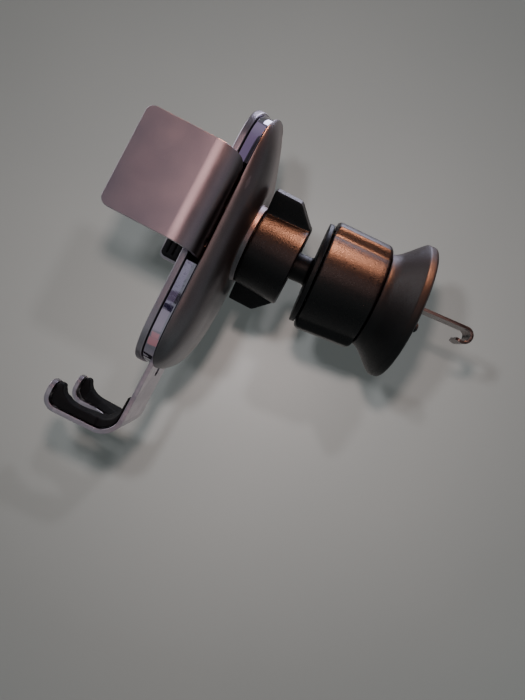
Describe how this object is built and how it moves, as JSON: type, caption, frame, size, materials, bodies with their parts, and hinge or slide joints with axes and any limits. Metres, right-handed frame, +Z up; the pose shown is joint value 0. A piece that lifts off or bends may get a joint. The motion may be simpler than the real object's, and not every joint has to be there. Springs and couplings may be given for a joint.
{
  "type": "car phone mount",
  "caption": "Gravity-clamped phone cradle with side arms and forked foot, on a ball joint and a twist-knob hook clip for an air vent louvre.",
  "frame": {"origin": "centre of the face the phone rests on, where the ball joint's axis meets it", "axes": "+Z up along the cradle, -Y towards the phone, +Y towards the vent, X across; the clip's axis tips 4 degrees up from +Y at rest"},
  "size_m": [0.0846, 0.1222, 0.1211],
  "materials": {
    "plate": "satin mauve-grey anodised",
    "band": "mirror gloss",
    "shell": "satin gunmetal",
    "inner": "moulded black",
    "black": "fine-textured black",
    "smooth_black": "satin black",
    "liner": "low-friction liner",
    "rubber": "matte",
    "steel": "brushed"
  },
  "bodies": {
    "clip_base": {"flared_base": "smooth_black", "thread_sleeve": "smooth_black", "face_nub_left": "rubber", "face_nub_right": "rubber"},
    "hook_stud": {"ball_stud": "smooth_black", "hook_strip": "steel", "hook_rivet_1": "steel", "hook_rivet_2": "steel"},
    "clip_knob": {"knob": "black"},
    "rear_liner": {"rear_seat": "liner"},
    "front_liner": {"front_seat": "liner"},
    "cradle": {"front_plate": "plate", "trim_band_upper": "band", "trim_band_lower": "band", "chassis": "inner", "back_shell": "shell", "ball_socket": "inner", "case_screw_1": "steel", "case_screw_2": "steel", "case_screw_3": "steel", "case_screw_4": "steel", "guide_pin": "steel", "return_spring": "steel"},
    "nut": {"clamp_nut": "black"},
    "foot": {"foot_bracket": "plate", "foot_slider": "inner", "foot_pad": "rubber", "foot_rivet_1": "steel", "foot_rivet_2": "steel"},
    "left_jaw": {"arm_left": "plate", "arm_pad_left": "rubber", "arm_pin_left": "steel"},
    "right_jaw": {"arm_right": "plate", "arm_pad_right": "rubber", "arm_pin_right": "steel"}
  },
  "joints": [
    {"name": "hook_travel", "type": "slide", "parent": "clip_base", "child": "hook_stud", "axis": [0, -0.9976, -0.0698], "range_m": [0, 0.0075]},
    {"name": "knob_turn", "type": "hinge", "parent": "hook_stud", "child": "clip_knob", "pos_m": [0, 0.05003, 0.00188], "axis": [0, 0.9976, 0.0698], "range_deg": [0, 1080]},
    {"name": "ball_tilt", "type": "hinge", "parent": "hook_stud", "child": "rear_liner", "pos_m": [0, 0.0231, 0], "axis": [1, 0, 0], "range_deg": [-15, 15]},
    {"name": "ball_pan", "type": "hinge", "parent": "rear_liner", "child": "front_liner", "pos_m": [0, 0.0231, 0], "axis": [0, 0, 1], "range_deg": [-15, 15]},
    {"name": "ball_roll", "type": "hinge", "parent": "front_liner", "child": "cradle", "pos_m": [0, 0.0231, 0], "axis": [0, 1, 0], "continuous": true},
    {"name": "nut_turn", "type": "hinge", "parent": "cradle", "child": "nut", "pos_m": [0, 0.0231, 0], "axis": [0, 1, 0], "range_deg": [0, 180]},
    {"name": "foot_travel", "type": "slide", "parent": "cradle", "child": "foot", "axis": [0, 0, -1], "range_m": [0, 0.012], "stiffness_N_per_m": 40, "springref_m": -0.008, "deforming": ["return_spring"]},
    {"name": "left_jaw_travel", "type": "slide", "parent": "cradle", "child": "left_jaw", "axis": [1, 0, 0], "range_m": [0, 0.008]},
    {"name": "right_jaw_travel", "type": "slide", "parent": "cradle", "child": "right_jaw", "axis": [-1, 0, 0], "range_m": [0, 0.008]}
  ],
  "couplings": [
    {"joint": "knob_turn", "follows": "hook_travel", "rad_per_m": 2513.3},
    {"joint": "left_jaw_travel", "follows": "foot_travel", "ratio": 0.66667},
    {"joint": "right_jaw_travel", "follows": "foot_travel", "ratio": 0.66667}
  ]
}
